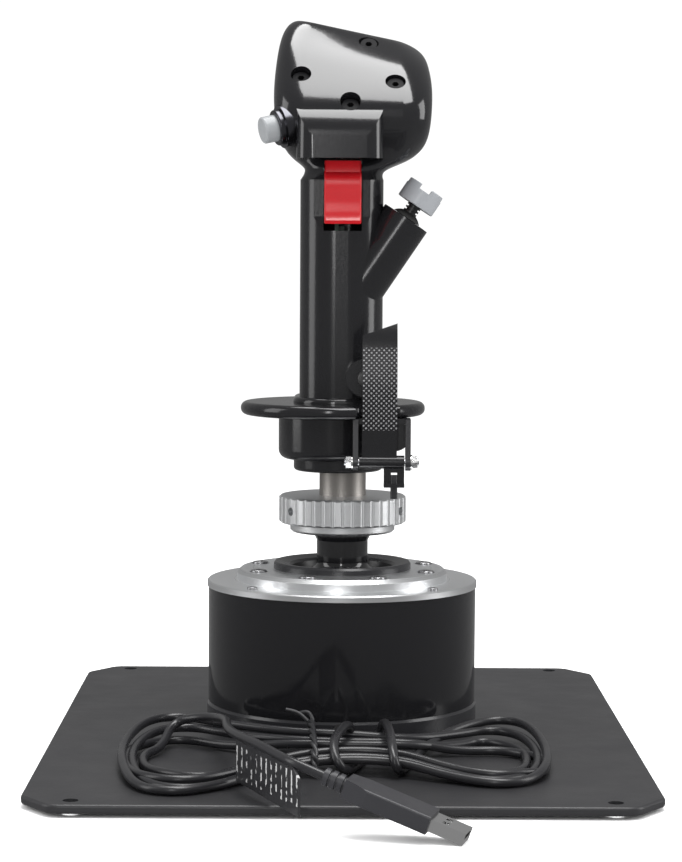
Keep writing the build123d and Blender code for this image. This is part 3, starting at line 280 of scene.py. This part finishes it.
class Finish:
    """A material with a Principled shader, and short ways to add effects to it."""

    def __init__(self, name, colour, roughness, metallic=0.0, coat=0.0, coat_roughness=0.03, gloss=0.5):
        self.material = bpy.data.materials.new(name)
        self.material.use_nodes = True
        self.tree = self.material.node_tree
        self.shader = self.tree.nodes["Principled BSDF"]
        self.shader.inputs["Base Color"].default_value = (*colour, 1.0)
        self.shader.inputs["Roughness"].default_value = roughness
        self.shader.inputs["Metallic"].default_value = metallic
        self.shader.inputs["Coat Weight"].default_value = coat
        self.shader.inputs["Coat Roughness"].default_value = coat_roughness
        self.shader.inputs["Specular IOR Level"].default_value = gloss
        self.colour = colour
        self.height = None
        coordinates = self.tree.nodes.new("ShaderNodeTexCoord")
        self.mapping = self.tree.nodes.new("ShaderNodeMapping")
        self.tree.links.new(coordinates.outputs["Object"], self.mapping.inputs["Vector"])
        self.place = self.mapping.outputs["Vector"]

    def centred(self, point, turn=(0, 0, 0)):
        """Centres and turns the patterns on a point of the object."""
        self.mapping.vector_type = "TEXTURE"
        self.mapping.inputs["Location"].default_value = point
        self.mapping.inputs["Rotation"].default_value = turn
        return self

    def group(self, name, **values):
        """A shared group's node, fed with the material's own place."""
        node = self.tree.nodes.new("ShaderNodeGroup")
        node.node_tree = shared_group(name)
        self.tree.links.new(self.place, node.inputs["Vector"])
        for label, value in values.items():
            node.inputs[label].default_value = value
        return node

    def bump(self, height, distance, strength=1.0):
        """A bump over what the material already has."""
        node = self.tree.nodes.new("ShaderNodeBump")
        node.inputs["Distance"].default_value = distance
        node.inputs["Strength"].default_value = strength
        self.tree.links.new(height, node.inputs["Height"])
        if self.height is not None:
            self.tree.links.new(self.height, node.inputs["Normal"])
        self.height = node.outputs["Normal"]
        self.tree.links.new(self.height, self.shader.inputs["Normal"])
        return self

    def rough(self, mask, low, high):
        """Roughness that follows a mask between two values."""
        self.tree.links.new(ramp(self.tree, mask, 0.25, 0.75, low, high), self.shader.inputs["Roughness"])
        return self

    def tint(self, mask, colour):
        """Mixes a second colour in where the mask is one."""
        node = self.tree.nodes.new("ShaderNodeMix")
        node.data_type = "RGBA"
        self.tree.links.new(mask, node.inputs[0])
        link = self.shader.inputs["Base Color"].links
        if link:
            self.tree.links.new(link[0].from_socket, node.inputs[6])
        else:
            node.inputs[6].default_value = (*self.colour, 1.0)
        node.inputs[7].default_value = (*colour, 1.0)
        self.tree.links.new(node.outputs[2], self.shader.inputs["Base Color"])
        return self

    def dusty(self, amount):
        """Dust on what looks up."""
        return self.tint(self.group("Dust", Amount=amount).outputs["Mask"], DUST_COLOUR)


def moulded(name, colour, roughness, grain=900.0, depth=0.00002, coat=0.0, dust=0.0, gloss=0.5):
    """Plastic or paint with a fine grain and a slow drift of gloss."""
    finish = Finish(name, colour, roughness, coat=coat, gloss=gloss)
    texture = finish.group("Grain", Scale=grain)
    finish.bump(texture.outputs["Height"], depth)
    finish.rough(texture.outputs["Drift"], roughness * 0.8, roughness * 1.2)
    if dust:
        finish.dusty(dust)
    return finish


def turned_metal(name, colour, roughness, centre, pitch=0.0004, depth=0.000012, turn=(0, 0, 0)):
    """Metal with the marks of a lathe."""
    finish = Finish(name, colour, roughness, metallic=1.0).centred(centre, turn)
    marks = finish.group("Lathe marks", Pitch=pitch)
    finish.bump(marks.outputs["Height"], depth)
    finish.rough(marks.outputs["Height"], roughness * 0.75, roughness * 1.3)
    return finish


def dress(finish, *nodes):
    """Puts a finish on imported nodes."""
    for node in nodes:
        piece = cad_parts[node]
        if not piece.material_slots:
            piece.data.materials.append(None)
        for slot in piece.material_slots:
            slot.link = "OBJECT"
            slot.material = finish.material


# ---------------------------------------------------------------- cable

# Each turn of the hank: right end, its back and front, front of the waist, left end, its back and
# front, back of the waist, and the heights of its back and front.
HANK_TURNS = [
    (82.0, -26.0, -126.0, -103.0, -88.5, -22.5, -143.0, -54.5, 13.6, 7.0),
    (78.5, -31.0, -122.0, -98.0, -84.5, -27.0, -139.0, -61.0, 10.0, 7.0),
    (81.0, -61.0, -118.0, -93.0, -87.0, -40.0, -131.0, -67.0, 7.2, 8.6),
    (74.0, -42.0, -113.0, -87.5, -80.0, -52.0, -118.0, -73.0, 7.4, 7.2),
]
# From the gland: twice round the waist of the hank, then into its first turn.
CABLE_START = [
    (0, -50, 10), (1.5, -55.5, 11.5), (3.5, -60, 15.8), (2, -69, 19.0), (-1, -84, 19.4), (-3.5, -99, 18.4),
    (-3.5, -107.5, 14.4), (-1, -110, 10), (2, -105, 7.2), (6, -90, 6.9), (10, -70, 6.9), (13, -56, 7.6),
    (15, -50, 11.5), (16.5, -54, 16.6), (17.5, -66, 19.2), (18.5, -84, 19.5), (19, -99, 18.4),
    (19.5, -108.5, 14), (20.5, -110, 9.8), (22.5, -104, 7.0), (26, -88, 6.9), (30, -70, 7.2),
    (37, -52, 9.0), (48, -37, 12.0),
]
# Over the hank to the plug.
CABLE_TAIL = [
    (-70, -40, 14), (-58, -46, 17.6), (-49.5, -59, 19.6), (-46, -77, 21.6), (-45.5, -96, 23.6),
    (-43.5, -115, 24.8), (-38.5, -133, 25.9), (-31.5, -150, 26.4), (-24, -165, 25.4),
]
# The plug's rear end and its turn; the cable meets the relief, and straightens, this far behind it.
PLUG_START = Vector((0.9, -182.9, 18.1))
PLUG_TURN = Euler((0, math.radians(19.5), math.radians(-15)))
PLUG_RELIEF = 9.0
PLUG_BEND = 11.5
# How far the hank rises where the cable's wraps pass under its waist.
WAIST_LIFT = 4.4
# Under, behind, over and in front of the waist, in millimetres.
TIE_RUN = [
    (-13, -52, 6.5), (-13, -50.5, 10), (-13, -51.5, 15), (-12.6, -57, 17.4), (-12.2, -72, 17.6),
    (-11.8, -88, 17.6), (-11.2, -101, 16.8), (-10.8, -107.5, 13.5), (-10.5, -109, 9.5), (-10.5, -107, 6.5),
]
# Points to each stretch of the tie, its wires' turn from one to the next, and their distance from its line.
TIE_STEPS = 6
TIE_TWIST = math.pi / 5
TIE_SPREAD = 0.75


def blended(a, b, part):
    """A number part of the way from a to b."""
    return a + (b - a) * part


def hank_turn(turn, following):
    """Points of one turn of the hank, clockwise from the back of its waist."""
    right, back_r, front_r, waist_f, left, back_l, front_l, waist_b, high, low = turn
    waist_next = following[7]
    middle = (high + low) / 2
    raised = low + WAIST_LIFT
    behind = max(high, 7 + WAIST_LIFT)
    return [
        (28, waist_b, behind), (46, blended(waist_b, back_r, 0.6), high), (right - 17, back_r, high),
        (right - 5, back_r - 11, high), (right, blended(back_r, front_r, 0.4), middle),
        (right - 2, blended(back_r, front_r, 0.75), middle - 1), (right - 10, front_r + 6, low),
        (right - 24, front_r, low), (40, blended(front_r, waist_f, 0.45), low + 1), (20, waist_f, raised),
        (-10, waist_f, raised), (-32, blended(waist_f, front_l, 0.25), low + 1),
        (left + 38, blended(waist_f, front_l, 0.8), low), (left + 24, front_l, low),
        (left + 10, front_l + 9, low), (left + 2, blended(front_l, back_l, 0.36), middle - 1),
        (left, blended(front_l, back_l, 0.66), middle), (left + 7, back_l - 9, high),
        (left + 22, back_l, high), (left + 42, blended(back_l, waist_next, 0.5), high),
        (-20, blended(back_l, waist_next, 0.92), behind), (2, waist_next, behind),
    ]


def cable_route():
    """Every control point of the cable, from the gland to the plug's relief, in millimetres."""
    points = list(CABLE_START)
    for number, turn in enumerate(HANK_TURNS):
        last = number == len(HANK_TURNS) - 1
        loop = hank_turn(turn, turn if last else HANK_TURNS[number + 1])
        if number == 0:
            loop = loop[2:]
        points += loop[:-4] if last else loop
    along_plug = PLUG_TURN.to_matrix() @ Vector((1, 0, 0))
    end = PLUG_START - along_plug * PLUG_RELIEF
    before = end - along_plug * PLUG_BEND
    return points + CABLE_TAIL + [tuple(before), tuple(end)]


def nurbs(name, lines, radius, finish):
    """A curve object with a round section and one smooth spline for each line of points."""
    curve = bpy.data.curves.new(name, "CURVE")
    curve.dimensions = "3D"
    curve.bevel_depth = radius
    curve.bevel_resolution = 5
    curve.use_fill_caps = True
    for points in lines:
        spline = curve.splines.new("NURBS")
        spline.points.add(len(points) - 1)
        for knot, point in zip(spline.points, points):
            knot.co = (*mm(*point), 1.0)
        spline.order_u = 3
        spline.use_endpoint_u = True
        spline.resolution_u = 8
        spline.use_smooth = True
    piece = bpy.data.objects.new(name, curve)
    bpy.context.scene.collection.objects.link(piece)
    curve.materials.append(finish.material)
    return piece


def line_length(piece):
    """Length of a curve's own line."""
    plain = piece.data.copy()
    plain.bevel_depth = 0
    holder = bpy.data.objects.new("line", plain)
    mesh = bpy.data.meshes.new_from_object(holder)
    places = [vertex.co for vertex in mesh.vertices]
    total = sum((places[edge.vertices[0]] - places[edge.vertices[1]]).length for edge in mesh.edges)
    bpy.data.objects.remove(holder)
    bpy.data.meshes.remove(mesh)
    return total


def twisted_tie():
    """Two wires twisted round each other, over the hank's waist, with their ends turned up."""
    run = [Vector(point) for point in TIE_RUN]
    side = Vector((1, 0, 0))
    strands = []
    for phase in (0.0, math.pi):
        strand = []
        for number in range((len(run) - 1) * TIE_STEPS + 1):
            first = min(number // TIE_STEPS, len(run) - 2)
            start, end = run[first], run[first + 1]
            spot = start.lerp(end, number / TIE_STEPS - first)
            up = side.cross((end - start).normalized())
            angle = phase + number * TIE_TWIST
            strand.append(spot + side * math.cos(angle) * TIE_SPREAD + up * math.sin(angle) * TIE_SPREAD)
        strands.append(strand)
    for lean in (-1, 1):
        strands.append([
            (-13 + lean, -54, 17.4), (-14.5 + lean * 2, -52.5, 19.8), (-17.5 + lean * 2.5, -51.5, 21.2),
            (-21 + lean * 2, -51, 20.6 - lean)])
    return strands


class JOYSTICK_OT_cable(Operator):
    """Lay the cable in its hank, with its tie, label and plug"""

    bl_idname = "joystick.cable"
    bl_label = "Cable"

    def execute(self, context):
        black = colours().cable_black
        sheath = moulded("Cable sheath", black, 0.3, grain=1500.0, depth=0.000015, dust=0.06)
        cable = nurbs("cable", [cable_route()], sizes().cable_diameter / 2, sheath)
        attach(cable, "base")
        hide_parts("cable_hank", "cable_tail")
        length = line_length(cable)
        print("cable length", round(length, 4))
        tie_finish = moulded("Tie sleeve", (0.02, 0.02, 0.022), 0.4, grain=2000.0)
        tie = nurbs("twisted_tie", twisted_tie(), sizes().tie_wire / 2, tie_finish)
        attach(tie, "base")
        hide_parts("cable_tie")
        plug = moulded("Plug body", (0.022, 0.022, 0.026), 0.42, grain=1400.0, depth=0.00003, dust=0.08)
        dress(plug, "usb_plug")
        dress(Finish("Plug shell", (0.8, 0.8, 0.8), 0.22, metallic=1.0), "usb_shell")
        dress(label_finish(), "label_flag")
        return {"FINISHED"}


def label_finish():
    """Dark label film with plain printed bars."""
    finish = Finish("Label film", (0.02, 0.02, 0.022), 0.3, coat=0.2)
    finish.centred(mm(*LABEL_CENTRE), (0, 0, LABEL_TURN))
    tree = finish.tree
    x, _, z = split_xyz(tree, finish.place)
    rows = calculate(tree, "FRACT", calculate(tree, "DIVIDE", x, LABEL_BAR_PITCH))
    bars = calculate(tree, "LESS_THAN", rows, 0.26)
    broken = calculate(tree, "GREATER_THAN", noise(tree, finish.place, 520.0, 0.0), 0.47)
    inside = between(tree, z, -LABEL_HALF_HEIGHT, LABEL_HALF_HEIGHT)
    finish.tint(calculate(tree, "MULTIPLY", calculate(tree, "MULTIPLY", bars, broken), inside), MARK_GREY)
    texture = finish.group("Grain", Scale=700.0)
    finish.bump(texture.outputs["Height"], 0.00004)
    finish.rough(texture.outputs["Drift"], 0.22, 0.42)
    return finish


# ---------------------------------------------------------------- plate and drum


class JOYSTICK_OT_plate(Operator):
    """Finish the floor plate, its feet and screws"""

    bl_idname = "joystick.plate"
    bl_label = "Floor plate"

    def execute(self, context):
        powder = moulded("Powder coat", colours().satin_black, 0.4, grain=1100.0, depth=0.00006, dust=0.05)
        dress(powder, "base_plate")
        dress(moulded("Foot rubber", (0.02, 0.02, 0.02), 0.8, grain=600.0, depth=0.00004), "rubber_feet")
        steel = turned_metal("Screw steel", (0.42, 0.42, 0.43), 0.3, (0, 0.015, 0), pitch=0.0003)
        dress(steel, "plate_screws", "boss_screws", "flange_screws")
        return {"FINISHED"}


class JOYSTICK_OT_drum(Operator):
    """Finish the drum, its rings, flange and bezel"""

    bl_idname = "joystick.drum"
    bl_label = "Drum base"

    def execute(self, context):
        centre = tuple(AXIS)
        gloss = moulded("Drum enamel", colours().gloss_black, 0.1, grain=260.0, depth=0.000012, gloss=0.4)
        dress(gloss, "base_housing")
        satin = colours().satin_black
        dress(moulded("Ring enamel", satin, 0.2, grain=900.0, depth=0.00002), "base_ring")
        dress(moulded("Gland nylon", (0.02, 0.02, 0.02), 0.5, grain=900.0), "cable_gland", "stick_connector")
        flange = turned_metal("Flange aluminium", colours().aluminium, 0.32, centre, pitch=0.0005)
        dress(flange, "top_flange")
        dress(moulded("Bezel paint", satin, 0.3, grain=1200.0, depth=0.00002), "dust_bezel")
        dress(turned_metal("Frame aluminium", (0.5, 0.5, 0.52), 0.35, centre), "gimbal_frame")
        dress(turned_metal("Gimbal steel", (0.42, 0.42, 0.43), 0.3, centre), "gimbal_ring", "stick_shaft")
        dress(moulded("Cast iron", (0.05, 0.05, 0.05), 0.7, grain=400.0, depth=0.0002), "ballast_weight")
        dress(turned_metal("Spring wire", (0.4, 0.4, 0.42), 0.25, centre), "centring_spring")
        dress(moulded("Seat nylon", (0.05, 0.05, 0.05), 0.5), "spring_seat")
        board = moulded("Board lacquer", (0.01, 0.09, 0.04), 0.3, grain=500.0)
        dress(board, "sensor_board", "main_board", "grip_board")
        dress(Finish("Magnet plating", (0.6, 0.6, 0.6), 0.2, metallic=1.0), "sensor_magnet")
        return {"FINISHED"}


class JOYSTICK_OT_neck(Operator):
    """Finish the ball, the lock ring and the tube"""

    bl_idname = "joystick.neck"
    bl_label = "Neck and lock ring"

    def execute(self, context):
        centre = tuple(AXIS)
        neck = moulded("Neck enamel", colours().gloss_black, 0.14, grain=500.0, depth=0.00001, coat=0.5)
        dress(neck, "pivot_ball")
        crosses = [f"{hat}_cross" for hat in ("side_hat", "trim_hat", "upper_hat", "lower_hat")]
        pins = turned_metal("Pin steel", (0.6, 0.6, 0.62), 0.15, centre)
        dress(pins, "pivot_pins", "hinge_pin", "trigger_pin", *crosses)
        nut = turned_metal("Lock ring aluminium", colours().aluminium, 0.38, centre, pitch=0.0006)
        dress(nut, "ring_nut")
        tube = turned_metal("Tube steel", (0.36, 0.34, 0.32), 0.42, centre, pitch=0.0008, depth=0.00004)
        dress(tube, "connector_tube")
        return {"FINISHED"}


class JOYSTICK_OT_handle(Operator):
    """Finish the handle's shells, cap and hand rest"""

    bl_idname = "joystick.handle"
    bl_label = "Handle"

    def execute(self, context):
        black = colours().gloss_black
        shell = moulded("Handle plastic", black, 0.17, grain=700.0, depth=0.00002, gloss=0.5)
        dress(shell, "grip_shell_left", "grip_shell_right", "grip_base_cap")
        dress(moulded("Rest plastic", black, 0.14, grain=700.0, depth=0.00001, dust=0.04), "hand_rest")
        bracket = moulded("Bracket paint", colours().satin_black, 0.25, grain=1000.0)
        dress(bracket, "lever_bracket", "lever_stop_screw")
        dress(Finish("Nut plating", (0.75, 0.75, 0.75), 0.2, metallic=1.0), "hinge_nuts")
        return {"FINISHED"}


class JOYSTICK_OT_head(Operator):
    """Finish the head's shell, cover and screws"""

    bl_idname = "joystick.head"
    bl_label = "Head"

    def execute(self, context):
        black = colours().gloss_black
        dress(moulded("Head plastic", black, 0.16, grain=700.0, depth=0.00002), "head_shell")
        cover = moulded("Cover plastic", black, 0.14, grain=600.0, depth=0.000012, coat=0.3)
        dress(cover, "front_cover")
        dress(moulded("Blackened screws", (0.008, 0.008, 0.009), 0.6, gloss=0.12), "cover_screws")
        return {"FINISHED"}


# Each silver hat: the point it rocks about, the turn that takes Z to its stem, and its stem's height,
# in millimetres and degrees.
HATS = [
    ("side_hat", (23.4, 6.0, 217.86), (0, 34, 0), 11.5),
    ("upper_hat", (-14.5, 37.36, 280.5), (-90, 0, 0), 11.6),
    ("lower_hat", (-8.5, 37.05, 256.5), (-90, 0, 0), 11.6),
]


def dark_stem(finish, pivot, turn, height):
    """Leaves the enamel on a hat's crown and makes its stem black."""
    nearby = finish.tree.nodes.new("ShaderNodeMapping")
    nearby.vector_type = "TEXTURE"
    nearby.inputs["Location"].default_value = mm(*pivot)
    nearby.inputs["Rotation"].default_value = [math.radians(angle) for angle in turn]
    finish.tree.links.new(finish.place, nearby.inputs["Vector"])
    _, _, rise = split_xyz(finish.tree, nearby.outputs["Vector"])
    return finish.tint(calculate(finish.tree, "LESS_THAN", rise, height * MM), STEM_BLACK)


def dimpled_lever():
    """Black enamel over the lever's grip, with a grey painted highlight tinted into its dimples."""
    finish = Finish("Lever enamel", colours().gloss_black, 0.2)
    tree = finish.tree
    dimples = finish.group("Dimples", Pitch=sizes().dimple_pitch)
    _, _, rise = split_xyz(tree, finish.place)
    gripped = between(tree, rise, DIMPLES_FROM, DIMPLES_TO)
    hollow_and_highlight = calculate(tree, "MULTIPLY", dimples.outputs["Hollow"], gripped)
    # Painted highlight: the dimples are tinted grey in place of the glints off them.
    finish.tint(calculate(tree, "MULTIPLY", hollow_and_highlight, 0.7), DIMPLE_HIGHLIGHT_GREY)
    return finish.bump(hollow_and_highlight, 0.0005)


class JOYSTICK_OT_controls(Operator):
    """Finish the trigger, buttons, hats and lever"""

    bl_idname = "joystick.controls"
    bl_label = "Controls"

    def execute(self, context):
        red = colours().trigger_red
        trigger = moulded("Trigger plastic", red, 0.24, grain=600.0, depth=0.00001, coat=0.3)
        dress(trigger, "trigger", "weapon_button")
        dress(moulded("Button plastic", (0.24, 0.25, 0.26), 0.4), "side_button")
        dress(Finish("Collar metal", (0.09, 0.09, 0.1), 0.25, metallic=1.0), "side_button_collar")
        dress(moulded("Socket plastic", (0.018, 0.018, 0.02), 0.35), "rear_hat_sockets", "side_hat_slider")
        for hat, pivot, turn, stem in HATS:
            enamel = moulded(
                f"Enamel {hat}", (0.24, 0.25, 0.265), 0.36, grain=1500.0, depth=0.00004, coat=0.1)
            dress(dark_stem(enamel, pivot, turn, stem), hat)
        dress(moulded("Boot rubber", (0.02, 0.02, 0.02), 0.6), "side_hat_boot")
        dress(moulded("Trim hat plastic", (0.02, 0.02, 0.02), 0.4), "trim_hat")
        dress(moulded("Plunger plastic", (0.03, 0.03, 0.03), 0.4), "lever_plunger")
        dress(dimpled_lever(), "paddle_lever")
        return {"FINISHED"}


# ---------------------------------------------------------------- stage


def soft_light(name, place, aim, size, power):
    """A rectangular light at a place, aimed at a point."""
    light = bpy.data.lights.new(name, "AREA")
    light.shape = "RECTANGLE"
    light.size, light.size_y = size
    light.energy = power
    lamp = bpy.data.objects.new(name, light)
    bpy.context.scene.collection.objects.link(lamp)
    lamp.location = place
    lamp.rotation_euler = (Vector(aim) - Vector(place)).to_track_quat("-Z", "Y").to_euler()


def studio_room(tree):
    """A white room for the eye and for soft light, and a dim one in reflections."""
    background = tree.nodes["Background"]
    background.inputs["Color"].default_value = (1, 1, 1, 1)
    path = tree.nodes.new("ShaderNodeLightPath")
    strength = ramp(tree, path.outputs["Is Glossy Ray"], 0.0, 1.0, ROOM_TO_EYE, ROOM_IN_GLOSS)
    tree.links.new(strength, background.inputs["Strength"])


class JOYSTICK_OT_stage(Operator):
    """Set up the floor, the lights and the camera"""

    bl_idname = "joystick.stage"
    bl_label = "Stage"

    def execute(self, context):
        bm = bmesh.new()
        bmesh.ops.create_grid(bm, x_segments=1, y_segments=1, size=6.0)
        mesh = bpy.data.meshes.new("floor")
        bm.to_mesh(mesh)
        bm.free()
        floor = bpy.data.objects.new("floor", mesh)
        context.scene.collection.objects.link(floor)
        paper = moulded("Paper floor", colours().backdrop, 0.9, grain=40.0, depth=0.00002, gloss=0.0)
        mesh.materials.append(paper.material)
        floor.visible_glossy = False
        world = bpy.data.worlds.new("Studio")
        world.use_nodes = True
        studio_room(world.node_tree)
        context.scene.world = world
        for light in LIGHTS:
            soft_light(*light)
        camera = bpy.data.cameras.new("Camera")
        camera.lens = CAMERA_LENS
        camera.sensor_width = 36.0
        camera.sensor_fit = "AUTO"
        camera.clip_start = 0.05
        holder = bpy.data.objects.new("Camera", camera)
        context.scene.collection.objects.link(holder)
        holder.matrix_world = camera_pose()
        context.scene.camera = holder
        context.scene.view_settings.view_transform = "Standard"
        context.scene.view_settings.look = "None"
        return {"FINISHED"}


def camera_pose():
    """The camera's place and turn, from its pitch, yaw and roll."""
    pitch, yaw, roll = (math.radians(angle) for angle in CAMERA_ANGLES)
    flat = math.cos(pitch)
    forward = Vector((math.sin(yaw) * flat, math.cos(yaw) * flat, -math.sin(pitch)))
    level = forward.cross(Vector((0, 0, 1))).normalized()
    rise = level.cross(forward)
    across = level * math.cos(roll) + rise * math.sin(roll)
    up = rise * math.cos(roll) - level * math.sin(roll)
    turn = Matrix((across, up, -forward)).transposed().to_4x4()
    return Matrix.Translation(CAMERA_PLACE) @ turn


# ---------------------------------------------------------------- panel


OPERATORS = (JOYSTICK_OT_stage, JOYSTICK_OT_cable, JOYSTICK_OT_plate, JOYSTICK_OT_drum, JOYSTICK_OT_neck,
             JOYSTICK_OT_handle, JOYSTICK_OT_head, JOYSTICK_OT_controls)


class JOYSTICK_PT_panel(Panel):
    """Lists the joystick's makers and its settings"""

    bl_idname = "JOYSTICK_PT_panel"
    bl_label = "Flight joystick"
    bl_space_type = "VIEW_3D"
    bl_region_type = "UI"
    bl_category = "Joystick"

    def draw(self, context):
        for settings in (context.scene.joystick_sizes, context.scene.joystick_colours):
            for name in settings.__annotations__:
                self.layout.prop(settings, name)
        for operator in OPERATORS:
            self.layout.operator(operator.bl_idname)


CLASSES = (JoystickSizes, JoystickColours, *OPERATORS, JOYSTICK_PT_panel)


def register():
    for cls in CLASSES:
        bpy.utils.register_class(cls)
    bpy.types.Scene.joystick_sizes = PointerProperty(type=JoystickSizes)
    bpy.types.Scene.joystick_colours = PointerProperty(type=JoystickColours)


def unregister():
    del bpy.types.Scene.joystick_sizes
    del bpy.types.Scene.joystick_colours
    for cls in reversed(CLASSES):
        bpy.utils.unregister_class(cls)


def main():
    register()
    bpy.ops.joystick.stage()
    bpy.ops.joystick.cable()
    bpy.ops.joystick.plate()
    bpy.ops.joystick.drum()
    bpy.ops.joystick.neck()
    bpy.ops.joystick.handle()
    bpy.ops.joystick.head()
    bpy.ops.joystick.controls()


if __name__ == "__main__":
    main()
